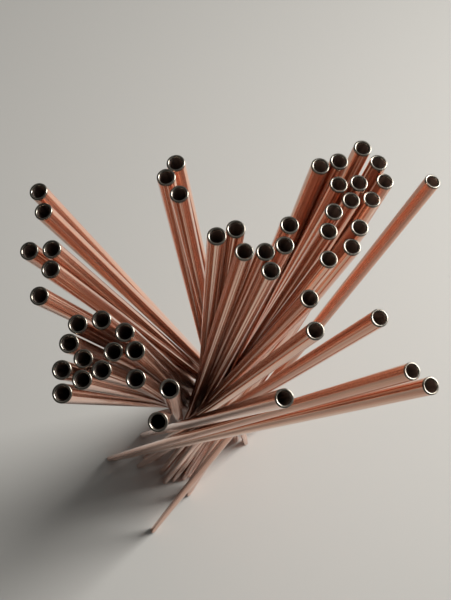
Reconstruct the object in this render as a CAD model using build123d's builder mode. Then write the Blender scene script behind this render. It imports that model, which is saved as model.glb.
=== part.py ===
"""A bunch of 51 straight lengths of copper-coated steel tube, cut square.

The bunch stands on its lower ends like a sheaf. Its tubes lean past each other at a narrow
waist half way up and fan out above and below it. Millimetres, +Z up, floor at Z = 0.
Seen from above with -Y nearest, +X is to the right.
"""
from build123d import *
import os
import numpy as np

# Tube stock
outer_diameter = 4.76
wall = 0.70
tube_length = 500.0

# The bunch
waist_height = 250.0
tube_clearance = 0.25
fan_rise = 250.0

# Where each tube's axis passes, in plan, at fan_rise above the waist, as ratios of the pitch.
# The groups are the clusters that the open ends form, seen from above.
fan_plan_ratios = {
    "left pair": [(-8.3, 4.4), (-8.1, 3.4)],
    "left three": [(-8.4, 1.0), (-7.2, 0.7), (-7.3, 0.4)],
    "left single": [(-7.7, -1.4)],
    "left front cluster": [
        (-5.6, -2.9), (-4.4, -2.6), (-3.2, -3.5), (-5.8, -3.8),
        (-3.0, -3.9), (-3.5, -4.3), (-5.3, -4.5), (-6.2, -5.1),
        (-4.3, -5.1), (-5.2, -5.5), (-2.6, -5.6), (-6.1, -6.2),
    ],
    "near pair": [(-1.1, -5.9), (-1.5, -7.5)],
    "back three": [(-1.0, 5.6), (-1.4, 4.7), (-0.8, 3.8)],
    "middle row": [
        (1.1, 1.5), (2.1, 1.9), (2.8, 0.9), (3.5, 0.5), (3.7, 0.1), (4.4, 1.2), (4.7, 2.1),
    ],
    "right back sheaf": [
        (6.7, 5.7), (7.3, 5.9), (8.9, 6.9), (9.9, 6.2), (10.1, 5.9), (7.5, 4.9), (8.6, 5.0),
        (8.2, 4.0), (9.3, 4.5), (7.2, 3.3), (6.9, 2.3), (8.6, 2.6), (8.2, 1.6), (6.9, 0.8),
    ],
    "front row": [(5.8, -1.4), (6.2, -2.9), (4.6, -6.3)],
    "far right": [(14.6, 7.8)],
    "right front": [(9.8, -2.0), (12.4, -4.5), (13.3, -5.3)],
}

# How the tubes settle against each other. The waist starts as the fan turned a quarter round
# and shrunk, because tubes that lean past each other in a twist meet the fewest others.
waist_twist_share = 0.7
waist_pull_share = 0.003
fan_pull_share = 0.05
fan_yield_share = 0.15
push_share = 0.45
settling_rounds = 2000
spreading_rounds = 4000
contact_tolerance = 0.001

outer_radius = outer_diameter / 2
bore_radius = outer_radius - wall
tube_pitch = outer_diameter + tube_clearance


def tube_axes(waist, fan):
    """Feet and unit directions of the tubes whose axes pass these points at the two heights."""
    slope = (fan - waist) / fan_rise
    direction = np.column_stack([slope, np.ones(len(slope))])
    direction /= np.linalg.norm(direction, axis=1)[:, None]
    # A leaning tube stands on the lowest point of its end face.
    foot_height = outer_radius * np.hypot(direction[:, 0], direction[:, 1])
    foot_plan = waist + slope * (foot_height - waist_height)[:, None]
    return np.column_stack([foot_plan, foot_height]), direction


def nearest_points(foot, direction, first, second):
    """Nearest points of the axes of each pair of tubes."""
    between = foot[first] - foot[second]
    along = (direction[first] * direction[second]).sum(axis=1)
    on_first = (direction[first] * between).sum(axis=1)
    on_second = (direction[second] * between).sum(axis=1)
    spread = np.maximum(1 - along**2, 1e-9)
    reach_first = np.clip((along * on_second - on_first) / spread, 0, tube_length)
    reach_second = np.clip(along * reach_first + on_second, 0, tube_length)
    reach_first = np.clip(along * reach_second - on_first, 0, tube_length)
    return (
        foot[first] + direction[first] * reach_first[:, None],
        foot[second] + direction[second] * reach_second[:, None],
    )


def push_apart(waist, fan, first, second):
    """Move each tube off the ones it presses on, and give the deepest overlap that there was."""
    foot, direction = tube_axes(waist, fan)
    point_first, point_second = nearest_points(foot, direction, first, second)
    distance = np.linalg.norm(point_first - point_second, axis=1)
    pressed = distance < tube_pitch
    first, second = first[pressed], second[pressed]
    gap = point_first[pressed] - point_second[pressed]
    # Axes that all but meet are parted square to the way they cross.
    crossing = (direction[first] - direction[second])[:, [1, 0]] * (1, -1)
    sideways = np.where(np.hypot(gap[:, 0], gap[:, 1])[:, None] > 1e-3, gap[:, :2], crossing)
    sideways /= np.maximum(np.hypot(sideways[:, 0], sideways[:, 1]), 1e-9)[:, None]
    push = sideways * ((tube_pitch - distance[pressed]) / 2)[:, None]
    waist_move, fan_move = np.zeros_like(waist), np.zeros_like(fan)
    for tube, point, way in ((first, point_first, 1), (second, point_second, -1)):
        # A tube turns about its fan end more readily than that end gives way.
        lever = (point[pressed][:, 2] - waist_height) / fan_rise
        effort = push * way / ((1 - lever) ** 2 + fan_yield_share * lever**2)[:, None]
        np.add.at(waist_move, tube, effort * (1 - lever)[:, None])
        np.add.at(fan_move, tube, effort * (fan_yield_share * lever)[:, None])
    waist += push_share * waist_move
    fan += push_share * fan_move
    return tube_pitch - distance.min()


def settle(fan_target):
    """Draw the waist tight, hold the fan to its plan, and leave no two tubes overlapping."""
    fan = fan_target.copy()
    waist = waist_twist_share * fan_target[:, [1, 0]] * (1, -1)
    first, second = np.triu_indices(len(fan), 1)
    for step in range(settling_rounds):
        push_apart(waist, fan, first, second)
        slackening = 1 - step / settling_rounds
        waist -= waist_pull_share * slackening * waist
        fan += fan_pull_share * slackening * (fan_target - fan)
    for step in range(spreading_rounds):
        if push_apart(waist, fan, first, second) < contact_tolerance:
            break
    return tube_axes(waist, fan)


def centred(foot, direction):
    """The feet, moved in plan so that the bunch's box is centred on the origin."""
    ends = np.vstack([foot, foot + direction * tube_length])[:, :2]
    rim_reach = outer_radius * np.sqrt(1 - np.vstack([direction, direction])[:, :2] ** 2)
    middle = ((ends - rim_reach).min(axis=0) + (ends + rim_reach).max(axis=0)) / 2
    return foot - np.append(middle, 0)


fan_target = tube_pitch * np.array([ratio for group in fan_plan_ratios.values() for ratio in group])
feet, directions = settle(fan_target)
feet = centred(feet, directions)

os.makedirs("parts", exist_ok=True)

for number, (foot, direction) in enumerate(zip(feet, directions), start=1):
    end_plane = Plane(origin=tuple(foot), z_dir=tuple(direction))
    with BuildPart() as tube:
        with BuildSketch(end_plane):
            Circle(outer_radius)
            Circle(bore_radius, mode=Mode.SUBTRACT)
        extrude(amount=tube_length)
    tube.part.label = f"tube_{number:02d}"
    export_step(tube.part, f"parts/{tube.part.label}.step")

lean = np.degrees(np.arccos(directions[:, 2]))
tops = feet + directions * tube_length
print(f"{len(feet)} tubes, lean {lean.min():.1f} to {lean.max():.1f} degrees")
print("tops from", tops.min(axis=0).round(1), "to", tops.max(axis=0).round(1))
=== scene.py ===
"""The looks of a sheaf of copper-coated steel tubes, standing on its lower ends.

Each CAD tube is replaced by a finished one on the same line: a drawn, copper-coated wall, a
dark bore, and two sawn ends whose edges are broken down to bare steel. Metres, +Z up.
"""
import math

import bpy
import numpy as np
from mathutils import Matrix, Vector


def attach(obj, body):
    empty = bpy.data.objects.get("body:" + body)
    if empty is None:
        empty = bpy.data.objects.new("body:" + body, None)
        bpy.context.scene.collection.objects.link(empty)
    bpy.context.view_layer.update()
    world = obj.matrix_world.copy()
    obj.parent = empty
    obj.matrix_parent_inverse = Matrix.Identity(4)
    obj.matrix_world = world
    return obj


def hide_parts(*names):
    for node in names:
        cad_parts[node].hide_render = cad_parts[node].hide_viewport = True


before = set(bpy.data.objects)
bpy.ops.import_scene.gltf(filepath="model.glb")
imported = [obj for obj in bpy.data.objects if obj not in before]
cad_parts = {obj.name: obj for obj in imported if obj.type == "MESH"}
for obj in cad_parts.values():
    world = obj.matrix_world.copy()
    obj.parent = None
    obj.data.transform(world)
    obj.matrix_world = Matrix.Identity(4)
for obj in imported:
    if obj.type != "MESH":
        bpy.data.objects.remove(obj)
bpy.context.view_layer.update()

MM = 0.001

# Finish of a cut end. The burr is taken off both edges by hand, so it is never quite even.
outer_break = 0.24 * MM
outer_break_length = 0.22 * MM
bore_break = 0.34 * MM
bore_break_length = 0.46 * MM
break_unevenness = 0.20
# Noise keeps to the middle of its range, so its swing is widened to reach the unevenness.
wander_scale = 1.1
wander_swing = 4.0
wander_apart_ends = 5.0
wander_apart_tubes = 13.7

# Mesh of a tube. A short row of faces behind each break keeps its shading off the wall, and
# the wall is cut to lengths, because long thin faces that lean take long to render.
tube_sides = 64
break_arc_steps = 3
wall_lengths = 20
edge_guard = 0.50 * MM
weld_distance = 0.001 * MM
stations_per_end = 2 * (break_arc_steps + 1) + 2
rows_per_half = stations_per_end + wall_lengths - 1

# Lines that the die leaves, with dark and pale lines that are also painted reflection and
# painted highlight streaks, and patches that dull the metal. A contrast is the stretch of
# noise over which a mark comes in. Each tube has a random lot, which shifts its marks, and a
# random tone.
lot_seed = 1
tone_seed = 2
lot_spread = 0.9
bands_per_metre = 600.0
narrow_lines_per_metre = 1500.0
fine_lines_per_metre = 3600.0
narrow_line_share = 0.6
band_height_share = 0.25
band_contrast = (0.36, 0.64)
die_line_and_painted_reflection_contrast = (0.34, 0.50)
die_line_and_painted_highlight_contrast = (0.52, 0.66)
patches_per_metre = 260.0
patch_roughness = 0.62
patch_slowness = 0.04
patch_contrast = (0.42, 0.70)

# Copper coat. Tubes vary from pale to deep, and each mark is mixed in by its share.
pale_copper = (0.97, 0.61, 0.45)
deep_copper = (0.90, 0.50, 0.345)
band_copper = (0.66, 0.235, 0.135)
# Dark lines are die lines and painted reflection streaks; bright lines are die lines and painted
# highlights.
die_line_and_painted_reflection_copper = (0.46, 0.155, 0.085)
die_line_and_painted_highlight_copper = (0.99, 0.76, 0.62)
dulled_copper = (0.42, 0.15, 0.09)
bared_edge = (0.22, 0.20, 0.17)
band_share = 0.50
die_line_and_painted_reflection_share = 0.50
die_line_and_painted_highlight_share = 0.50
dulled_share = 0.30
coat_stretch = 600.0
# The coat ends between these two depths behind the cut, and raggedly.
coat_end = (0.40 * MM, 0.62 * MM)
coat_raggedness = 0.5 * MM
coat_roughness = 0.10
band_roughness = 0.05
dark_line_roughness = 0.08
dulled_roughness = 0.12
coat_metallic = 0.9
grazing_tint = (1.0, 0.90, 0.83)
oil_weight = 0.60
oil_roughness = 0.07
coat_line_depth = 0.04 * MM
coat_line_strength = 0.6

# Bare steel of a cut end
dark_steel = (0.12, 0.11, 0.094)
pale_steel = (0.21, 0.194, 0.166)
stained_steel = (0.12, 0.105, 0.085)
burnished_steel = (0.25, 0.23, 0.195)
turning_per_metre = 320.0
turning_squeeze = 40.0
turning_noise_roughness = 0.7
turning_contrast = (0.3, 0.7)
stain_amount = 0.8
stain_share = 0.6
# The breaks are burnished from between these two depths behind the cut.
burnish_start = (0.01 * MM, 0.06 * MM)
burnish_share = 0.85
steel_roughness = 0.20
turning_roughness = 0.12
stain_roughness = 0.12
burnish_polish = 0.06
turning_depth = 0.015 * MM
turning_strength = 0.4

# Skin of the bore
pale_bore = (0.64, 0.51, 0.45)
dark_bore = (0.50, 0.40, 0.35)
dulled_bore = (0.38, 0.27, 0.22)
bore_stretch = 30.0
bore_roughness = 0.40
bore_line_roughness = 0.14
bore_metallic = 0.9
bore_line_depth = 0.02 * MM
bore_line_strength = 0.3

# Camera, as the photograph is framed: 600 pixels high and a focal length of 750 pixels.
# Its tilts are in degrees.
camera_place = (10.6 * MM, -37.5 * MM, 672.2 * MM)
camera_tilt = (15.25, -1.38, 0.0)
camera_lens = 45.0
camera_sensor = 36.0
camera_reach = (0.01, 20.0)

# Light: a soft window to the right, in watts and degrees, and a room that is brighter on the
# window's side
window_place = (1.12, 0.58, 0.86)
window_aim = (0.0, 0.0, 0.36)
window_size = (0.75, 1.10)
window_power = 18.5
window_spread = 100.0
window_tint = (1.0, 0.98, 0.95)
bright_side = (0.72, 0.62, 0.05)
brightening = (-0.5, 1.0)
dim_room = 0.085
bright_room = 0.48
room_tint = (1.0, 0.985, 0.96)

# Floor
floor_radius = 3.0
floor_corners = 96
floor_colour = (0.39, 0.384, 0.366)
floor_roughness = 0.85


# Nodes, and arithmetic with them

class Term:
    """What a node's socket puts out, so that a tree's arithmetic is written as a formula."""

    def __init__(self, tree, socket):
        self.tree = tree
        self.socket = socket

    def math(self, operation, *values):
        inputs = dict(enumerate(values))
        node = new_node(self.tree, "ShaderNodeMath", inputs, operation=operation)
        return Term(self.tree, node.outputs[0])

    def __add__(self, other):
        return self.math("ADD", self, other)

    def __radd__(self, other):
        return self.math("ADD", other, self)

    def __sub__(self, other):
        return self.math("SUBTRACT", self, other)

    def __rsub__(self, other):
        return self.math("SUBTRACT", other, self)

    def __mul__(self, other):
        return self.math("MULTIPLY", self, other)

    def __truediv__(self, other):
        return self.math("DIVIDE", self, other)

    def __mod__(self, other):
        return self.math("MODULO", self, other)

    def __lt__(self, other):
        return self.math("LESS_THAN", self, other)

    def __gt__(self, other):
        return self.math("GREATER_THAN", self, other)

    def cosine(self):
        return self.math("COSINE", self)

    def sine(self):
        return self.math("SINE", self)

    def whole(self):
        return self.math("FLOOR", self)

    def lesser(self, other):
        return self.math("MINIMUM", self, other)

    def between(self, low, high):
        return self.math("MINIMUM", self.math("MAXIMUM", self, low), high)

    def power(self, exponent):
        return self.math("POWER", self, exponent)

    def ramp(self, low, high):
        """0 at low, 1 at high, and smooth between them."""
        inputs = {"Value": self, "From Min": low, "From Max": high}
        node = new_node(self.tree, "ShaderNodeMapRange", inputs, interpolation_type="SMOOTHSTEP")
        return Term(self.tree, node.outputs["Result"])


def feed(tree, slot, value):
    """Link a node's input to a term, or set it to a plain value."""
    if isinstance(value, Term):
        tree.links.new(value.socket, slot)
    else:
        slot.default_value = value


def feed_all(tree, node, inputs):
    for label, value in inputs.items():
        feed(tree, node.inputs[label], value)


def new_node(tree, kind, inputs=None, **settings):
    """A node with its settings made and its inputs fed, which go by name or by place."""
    node = tree.nodes.new(kind)
    for name, value in settings.items():
        setattr(node, name, value)
    feed_all(tree, node, inputs or {})
    return node


def choose(mask, when_off, when_on):
    """when_on where the mask is 1 and when_off where it is 0."""
    return when_off + mask * (when_on - when_off)


def vector_of(tree, x, y, z):
    node = new_node(tree, "ShaderNodeCombineXYZ", {"X": x, "Y": y, "Z": z})
    return Term(tree, node.outputs[0])


def parts_of(tree, vector):
    node = new_node(tree, "ShaderNodeSeparateXYZ", {0: vector})
    return [Term(tree, socket) for socket in node.outputs]


def noise(tree, vector, scale, detail=1.0, roughness=0.5):
    """Noise from 0 to 1 at this place."""
    inputs = {"Vector": vector, "Scale": scale, "Detail": detail, "Roughness": roughness}
    return Term(tree, new_node(tree, "ShaderNodeTexNoise", inputs).outputs[0])


# Shader groups shared by the materials

def new_group(name, inputs, outputs):
    """An empty shader group and its input sockets, as terms by name."""
    group = bpy.data.node_groups.new(name, "ShaderNodeTree")
    for label, kind in inputs.items():
        group.interface.new_socket(label, in_out="INPUT", socket_type=kind)
    for label in outputs:
        group.interface.new_socket(label, in_out="OUTPUT", socket_type="NodeSocketFloat")
    entry = group.nodes.new("NodeGroupInput")
    return group, {label: Term(group, entry.outputs[label]) for label in inputs}


def drawn_lines_group():
    """Lines that the die leaves along a tube: broad bands, dark and bright lines, and a height.
    The dark lines are also painted reflection streaks and the bright lines painted highlight
    streaks.
    """
    group, given = new_group(
        "drawn_lines",
        {"Place": "NodeSocketVector", "Lot": "NodeSocketFloat", "Stretch": "NodeSocketFloat"},
        ("Band", "Dark", "Bright", "Height"),
    )
    across, over, along = parts_of(group, given["Place"])
    stretched = vector_of(group, across + given["Lot"], over, along / given["Stretch"])
    broad = noise(group, stretched, bands_per_metre)
    narrow = noise(group, stretched, narrow_lines_per_metre)
    fine = noise(group, stretched, fine_lines_per_metre)
    lines = narrow * narrow_line_share + fine * (1.0 - narrow_line_share)
    new_node(group, "NodeGroupOutput", {
        "Band": broad.ramp(*band_contrast),
        # Dark lines are partly painted reflection streaks, bright lines partly painted highlight
        # streaks.
        "Dark": 1.0 - lines.ramp(*die_line_and_painted_reflection_contrast),
        "Bright": lines.ramp(*die_line_and_painted_highlight_contrast),
        "Height": broad * band_height_share + lines * (1.0 - band_height_share),
    })
    return group


def dulling_group():
    """Patches where handling and air have dulled the metal."""
    group, given = new_group(
        "dulling",
        {"Place": "NodeSocketVector", "Lot": "NodeSocketFloat", "Amount": "NodeSocketFloat"},
        ("Patch",),
    )
    across, over, along = parts_of(group, given["Place"])
    slow = vector_of(group, across, over + given["Lot"], along * patch_slowness)
    patch = noise(group, slow, patches_per_metre, roughness=patch_roughness)
    new_node(group, "NodeGroupOutput", {"Patch": patch.ramp(*patch_contrast) * given["Amount"]})
    return group


def use_group(tree, group, **values):
    """Place a group in a material and give its outputs as terms by name."""
    node = tree.nodes.new("ShaderNodeGroup")
    node.node_tree = group
    feed_all(tree, node, values)
    return {socket.name: Term(tree, socket) for socket in node.outputs}


# Materials

def attribute(tree, name, output="Fac"):
    node = new_node(tree, "ShaderNodeAttribute", attribute_name=name)
    return Term(tree, node.outputs[output])


def opaque(colour):
    return (*colour, 1.0)


def tint(tree, mask, when_off, when_on):
    """A colour mixed by a mask. Either colour may be a term."""
    node = new_node(tree, "ShaderNodeMix", {"Factor": mask}, data_type="RGBA")
    for label, colour in (("A", when_off), ("B", when_on)):
        slot = [s for s in node.inputs if s.name == label and s.type == "RGBA"][0]
        feed(tree, slot, colour if isinstance(colour, Term) else opaque(colour))
    return Term(tree, [s for s in node.outputs if s.type == "RGBA"][0])


def bump(tree, height, distance, strength):
    inputs = {"Strength": strength, "Distance": distance, "Height": height}
    return Term(tree, new_node(tree, "ShaderNodeBump", inputs).outputs["Normal"])


def new_material(name):
    material = bpy.data.materials.new(name)
    material.use_nodes = True
    tree = material.node_tree
    shader = next(n for n in tree.nodes if n.type == "BSDF_PRINCIPLED")
    return material, tree, shader


def copper_coat(drawn_lines, dulling):
    """The satin copper coat: salmon where it is clean, redder and duller where it was handled."""
    material, tree, shader = new_material("copper_coat")
    place = attribute(tree, "tube_place", "Vector")
    lot = attribute(tree, "tube_lot")
    lines = use_group(tree, drawn_lines, Place=place, Lot=lot, Stretch=coat_stretch)
    patch = use_group(tree, dulling, Place=place, Lot=lot, Amount=1.0)["Patch"]
    clean = tint(tree, attribute(tree, "tube_tone"), pale_copper, deep_copper)
    banded = tint(tree, lines["Band"] * band_share, clean, band_copper)
    # Dark and bright lines lay painted reflection streaks and painted highlight streaks over the
    # die's own lines.
    lined = tint(tree, lines["Dark"] * die_line_and_painted_reflection_share, banded, die_line_and_painted_reflection_copper)
    bright = tint(tree, lines["Bright"] * die_line_and_painted_highlight_share, lined, die_line_and_painted_highlight_copper)
    dulled = tint(tree, patch * dulled_share, bright, dulled_copper)
    # The coat ends raggedly a hair short of the cut.
    ragged = attribute(tree, "from_end") + (lines["Height"] - 0.5) * coat_raggedness
    bared = 1.0 - ragged.ramp(*coat_end)
    lined_roughness = lines["Band"] * band_roughness + lines["Dark"] * dark_line_roughness
    feed_all(tree, shader, {
        "Base Color": tint(tree, bared, dulled, bared_edge),
        "Roughness": coat_roughness + lined_roughness + patch * dulled_roughness,
        "Metallic": coat_metallic,
        # Copper keeps its colour where it is seen along the tube.
        "Specular Tint": opaque(grazing_tint),
        # A thin film of drawing oil
        "Coat Weight": oil_weight,
        "Coat Roughness": oil_roughness,
        "Normal": bump(tree, lines["Height"], coat_line_depth, coat_line_strength),
    })
    return material


def bare_steel(dulling):
    """The sawn and deburred end: bright steel with turning lines round it."""
    material, tree, shader = new_material("bare_steel")
    place = attribute(tree, "tube_place", "Vector")
    lot = attribute(tree, "tube_lot")
    across, over, along = parts_of(tree, place)
    reach = (across * across + over * over).power(0.5)
    # Lines that run round the end lie at one radius and one depth.
    round_place = vector_of(tree, reach * turning_squeeze, along * turning_squeeze, across + lot)
    turning = noise(tree, round_place, turning_per_metre, 2.0, turning_noise_roughness)
    patch = use_group(tree, dulling, Place=place, Lot=lot, Amount=stain_amount)["Patch"]
    steel = tint(tree, turning.ramp(*turning_contrast), dark_steel, pale_steel)
    stained = tint(tree, patch * stain_share, steel, stained_steel)
    # The broken edges are burnished.
    burnished = attribute(tree, "from_end").ramp(*burnish_start)
    worn = steel_roughness + turning * turning_roughness + patch * stain_roughness
    feed_all(tree, shader, {
        "Base Color": tint(tree, burnished * burnish_share, stained, burnished_steel),
        "Roughness": worn - burnished * burnish_polish,
        "Metallic": 1.0,
        "Normal": bump(tree, turning, turning_depth, turning_strength),
    })
    return material


def bore_skin(drawn_lines, dulling):
    """The inside of the tube: dark brazed steel, with a little red in it."""
    material, tree, shader = new_material("bore_skin")
    place = attribute(tree, "tube_place", "Vector")
    lot = attribute(tree, "tube_lot")
    lines = use_group(tree, drawn_lines, Place=place, Lot=lot, Stretch=bore_stretch)
    patch = use_group(tree, dulling, Place=place, Lot=lot, Amount=1.0)["Patch"]
    skin = tint(tree, lines["Band"], pale_bore, dark_bore)
    feed_all(tree, shader, {
        "Base Color": tint(tree, patch, skin, dulled_bore),
        "Roughness": bore_roughness + lines["Dark"] * bore_line_roughness,
        "Metallic": bore_metallic,
        "Normal": bump(tree, lines["Height"], bore_line_depth, bore_line_strength),
    })
    return material


# The tube, as a geometry tree

def new_tube_tree():
    """An empty geometry tree for one tube, and its sizes as terms by name."""
    tree = bpy.data.node_groups.new("cut_tube", "GeometryNodeTree")
    tree.interface.new_socket("Tube", in_out="OUTPUT", socket_type="NodeSocketGeometry")
    inputs = {
        "NodeSocketVector": ("Foot", "Head"),
        "NodeSocketFloat": (
            "Outer Radius", "Bore Radius", "Outer Break", "Outer Break Length",
            "Bore Break", "Bore Break Length", "Unevenness", "Edge Guard",
        ),
        "NodeSocketInt": ("Sides", "Seed"),
    }
    for kind, labels in inputs.items():
        for label in labels:
            tree.interface.new_socket(label, in_out="INPUT", socket_type=kind)
    entry = tree.nodes.new("NodeGroupInput")
    return tree, {s.name: Term(tree, s) for s in entry.outputs if s.name}


def break_share(tree, given, turn, at_head):
    """How far the breaks are cut at this place round the end, as a share of their sizes."""
    apart = at_head * wander_apart_ends + given["Seed"] * wander_apart_tubes
    round_place = vector_of(tree, turn.cosine(), turn.sine(), apart)
    wander = noise(tree, round_place, wander_scale, detail=2.0) - 0.5
    return 1.0 + given["Unevenness"] * wander * wander_swing


def walk_of_rows(row):
    """Where a row lies: at which end, at which step from outside to bore, and how far along.

    The first half of the rows goes over the head end and down the bore, and the second half
    goes over the foot end and up the outside.
    """
    at_head = (row + 0.5) % (2.0 * rows_per_half) < float(rows_per_half)
    row_in_half = (row + 0.5) % float(rows_per_half) - 0.5
    station = row_in_half.lesser(stations_per_end - 1.0)
    along_wall = (row_in_half - station) / wall_lengths
    step = choose(at_head, stations_per_end - 1.0 - station, station)
    return at_head, step, along_wall


def end_outline(tree, given, at_head, step, turn):
    """Radius, and depth behind the nearer cut, of a step in the outline of a cut end."""
    in_bore = step > stations_per_end / 2 - 0.5
    outer_turn = ((step - 1.0) / break_arc_steps).between(0.0, 1.0) * (math.pi / 2)
    bore_step = step - (break_arc_steps + 2.0)
    bore_turn = (bore_step / break_arc_steps).between(0.0, 1.0) * (math.pi / 2)
    guard = given["Edge Guard"] * ((step < 0.5) + (step > stations_per_end - 1.5))
    share = break_share(tree, given, turn, at_head)
    outer_cut = given["Outer Break"] * share
    bore_cut = given["Bore Break"] * share
    radius = choose(
        in_bore,
        given["Outer Radius"] - outer_cut * (1.0 - outer_turn.cosine()),
        given["Bore Radius"] + bore_cut * (1.0 - bore_turn.sine()),
    )
    depth = guard + choose(
        in_bore,
        given["Outer Break Length"] * share * (1.0 - outer_turn.sine()),
        given["Bore Break Length"] * share * (1.0 - bore_turn.cosine()),
    )
    return radius, depth


def random_of_tube(tree, number, seed):
    """One random number from 0 to 1 for the whole tube."""
    node = new_node(tree, "FunctionNodeRandomValue", {"ID": number, "Seed": seed})
    return Term(tree, node.outputs[1])


def store(tree, geometry, name, kind, value):
    """Keep a value on each point for the materials, while the tube still stands straight."""
    node = new_node(
        tree, "GeometryNodeStoreNamedAttribute",
        {"Geometry": geometry, "Name": name, "Value": value},
        data_type=kind, domain="POINT",
    )
    return Term(tree, node.outputs["Geometry"])


def lay_materials(tree, geometry, coat, steel, bore):
    """Coat outside, steel on the cut and its breaks, and the bore's skin inside."""
    # A face's step is the mean of its corners' steps.
    kept = new_node(tree, "GeometryNodeInputNamedAttribute", {"Name": "step"}, data_type="FLOAT")
    step = Term(tree, kept.outputs["Attribute"])
    first_of_bore = stations_per_end - 2.0
    laid = (
        (coat, {}),
        (steel, {"Selection": (step > 1.0) * (step < first_of_bore)}),
        (bore, {"Selection": step > first_of_bore}),
    )
    for material, selection in laid:
        inputs = {"Geometry": geometry, "Material": material, **selection}
        node = new_node(tree, "GeometryNodeSetMaterial", inputs)
        geometry = Term(tree, node.outputs["Geometry"])
    return geometry


def cut_tube_tree(coat, steel, bore):
    """A geometry tree that makes one tube from its two end centres and its radii."""
    tree, given = new_tube_tree()

    # A grid whose rows go along the tube's outline and whose columns go round it
    columns = given["Sides"] + 1.0
    sizes = {"Vertices X": 2 * rows_per_half + 1, "Vertices Y": columns}
    grid = new_node(tree, "GeometryNodeMeshGrid", sizes)
    index = Term(tree, new_node(tree, "GeometryNodeInputIndex").outputs[0])
    row = ((index + 0.5) / columns).whole()
    turn = (index - row * columns) / given["Sides"] * math.tau
    at_head, step, along_wall = walk_of_rows(row)
    radius, depth = end_outline(tree, given, at_head, step, turn)

    # The tube is shaped standing on the origin.
    ends = {0: given["Head"], 1: given["Foot"]}
    way = Term(tree, new_node(tree, "ShaderNodeVectorMath", ends, operation="SUBTRACT").outputs[0])
    span = new_node(tree, "ShaderNodeVectorMath", {0: way}, operation="LENGTH")
    length = Term(tree, span.outputs["Value"])
    height_at_end = choose(at_head, depth, length - depth)
    height = height_at_end + along_wall * (length - height_at_end * 2.0)
    shaped = new_node(tree, "GeometryNodeSetPosition", {
        "Geometry": Term(tree, grid.outputs["Mesh"]),
        "Position": vector_of(tree, radius * turn.cosine(), radius * turn.sine(), height),
    })
    spot = Term(tree, new_node(tree, "GeometryNodeInputPosition").outputs[0])
    lot = random_of_tube(tree, given["Seed"], lot_seed) * lot_spread
    tone = random_of_tube(tree, given["Seed"], tone_seed)
    geometry = Term(tree, shaped.outputs["Geometry"])
    geometry = store(tree, geometry, "tube_place", "FLOAT_VECTOR", spot)
    geometry = store(tree, geometry, "tube_lot", "FLOAT", lot)
    geometry = store(tree, geometry, "tube_tone", "FLOAT", tone)
    geometry = store(tree, geometry, "from_end", "FLOAT", depth)
    geometry = store(tree, geometry, "step", "FLOAT", step)

    # The grid is closed round the tube and along its outline, then moved to its line.
    welding = {"Geometry": geometry, "Distance": weld_distance}
    welded = new_node(tree, "GeometryNodeMergeByDistance", welding)
    smooth = new_node(tree, "GeometryNodeSetShadeSmooth", {
        "Geometry": Term(tree, welded.outputs["Geometry"]),
    })
    turned = new_node(tree, "FunctionNodeAlignRotationToVector", {"Vector": way}, axis="Z")
    placed = new_node(tree, "GeometryNodeTransform", {
        "Geometry": Term(tree, smooth.outputs["Geometry"]),
        "Translation": given["Foot"],
        "Rotation": Term(tree, turned.outputs["Rotation"]),
    })
    real = new_node(tree, "GeometryNodeRealizeInstances", {
        "Geometry": Term(tree, placed.outputs["Geometry"]),
    })
    geometry = lay_materials(tree, Term(tree, real.outputs["Geometry"]), coat, steel, bore)
    new_node(tree, "NodeGroupOutput", {"Tube": geometry})
    return tree


def add_object(name, data):
    thing = bpy.data.objects.new(name, data)
    bpy.context.scene.collection.objects.link(thing)
    return thing


def tube_line(node):
    """Foot centre, head centre, outer radius and bore radius of a CAD tube."""
    points = np.array([v.co for v in node.data.vertices])
    points = np.unique(points.round(8), axis=0)
    middle = (points[:, 2].min() + points[:, 2].max()) / 2
    foot_ring = points[points[:, 2] < middle]
    head_ring = points[points[:, 2] > middle]
    foot = foot_ring.mean(axis=0)
    head = head_ring.mean(axis=0)
    reach = np.linalg.norm(head_ring - head, axis=1)
    return foot, head, reach.max(), reach.min()


def finished_tube(number, node, tree):
    """The finished tube that stands for one CAD tube, as a plain mesh."""
    foot, head, outer_radius, bore_radius = tube_line(node)
    name = f"coated_tube_{number:02d}"
    draft = add_object(name + "_draft", bpy.data.meshes.new(name + "_draft"))
    modifier = draft.modifiers.new("cut_tube", "NODES")
    modifier.node_group = tree
    sockets = {s.name: s.identifier for s in tree.interface.items_tree if s.in_out == "INPUT"}
    values = {
        "Foot": list(foot),
        "Head": list(head),
        "Outer Radius": outer_radius,
        "Bore Radius": bore_radius,
        "Outer Break": outer_break,
        "Outer Break Length": outer_break_length,
        "Bore Break": bore_break,
        "Bore Break Length": bore_break_length,
        "Unevenness": break_unevenness,
        "Edge Guard": edge_guard,
        "Sides": tube_sides,
        "Seed": number,
    }
    for label, value in values.items():
        modifier[sockets[label]] = value
    bpy.context.view_layer.update()
    graph = bpy.context.evaluated_depsgraph_get()
    mesh = bpy.data.meshes.new_from_object(draft.evaluated_get(graph))
    mesh.name = name
    # The grid leaves an empty material slot in front of the three.
    mesh.materials.pop(index=0)
    bpy.data.objects.remove(draft)
    return add_object(name, mesh)


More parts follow.
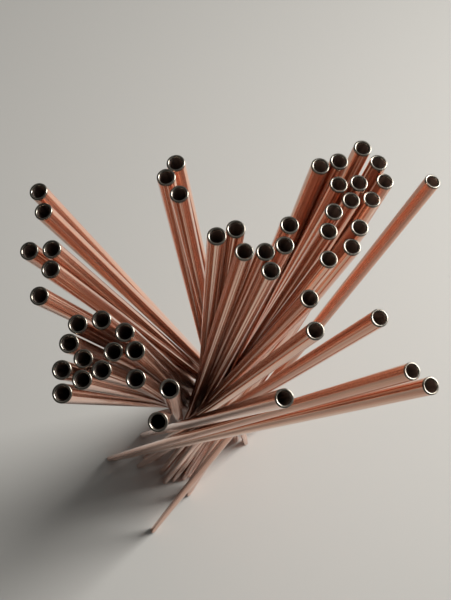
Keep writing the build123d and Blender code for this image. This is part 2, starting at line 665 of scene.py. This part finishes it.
def dress_tubes():
    drawn_lines = drawn_lines_group()
    dulling = dulling_group()
    tree = cut_tube_tree(
        copper_coat(drawn_lines, dulling),
        bare_steel(dulling),
        bore_skin(drawn_lines, dulling),
    )
    for number, name in enumerate(sorted(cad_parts), start=1):
        tube = finished_tube(number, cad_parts[name], tree)
        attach(tube, "root")
        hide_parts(name)


# The studio

def studio_floor():
    mesh = bpy.data.meshes.new("floor")
    angles = [math.tau * corner / floor_corners for corner in range(floor_corners)]
    rim = [(floor_radius * math.cos(angle), floor_radius * math.sin(angle), 0) for angle in angles]
    mesh.from_pydata(rim, [], [range(floor_corners)])
    floor = add_object("floor", mesh)
    material, tree, shader = new_material("pale_floor")
    feed_all(tree, shader, {"Base Color": opaque(floor_colour), "Roughness": floor_roughness})
    mesh.materials.append(material)


def studio_room():
    """A room that lights the tubes from all round, and more from its bright side."""
    world = bpy.data.worlds.new("studio")
    bpy.context.scene.world = world
    world.use_nodes = True
    tree = world.node_tree
    heading = Term(tree, new_node(tree, "ShaderNodeTexCoord").outputs["Generated"])
    sides = {0: heading, 1: Vector(bright_side).normalized()}
    facing = new_node(tree, "ShaderNodeVectorMath", sides, operation="DOT_PRODUCT")
    glow = Term(tree, facing.outputs["Value"]).ramp(*brightening)
    feed_all(tree, tree.nodes["Background"], {
        "Color": opaque(room_tint),
        "Strength": dim_room + glow * (bright_room - dim_room),
    })


def studio_window():
    lamp = bpy.data.lights.new("window", "AREA")
    lamp.shape = "RECTANGLE"
    lamp.size, lamp.size_y = window_size
    lamp.energy = window_power
    lamp.spread = math.radians(window_spread)
    lamp.color = window_tint
    window = add_object("window", lamp)
    window.location = window_place
    look = Vector(window_aim) - Vector(window_place)
    window.rotation_euler = look.to_track_quat("-Z", "Y").to_euler()


def studio_camera():
    lens = bpy.data.cameras.new("camera")
    lens.sensor_fit = "VERTICAL"
    lens.sensor_height = camera_sensor
    lens.lens = camera_lens
    lens.clip_start, lens.clip_end = camera_reach
    camera = add_object("camera", lens)
    camera.location = camera_place
    camera.rotation_euler = [math.radians(angle) for angle in camera_tilt]
    bpy.context.scene.camera = camera


dress_tubes()
studio_floor()
studio_room()
studio_window()
studio_camera()
bpy.context.scene.view_settings.view_transform = "Standard"
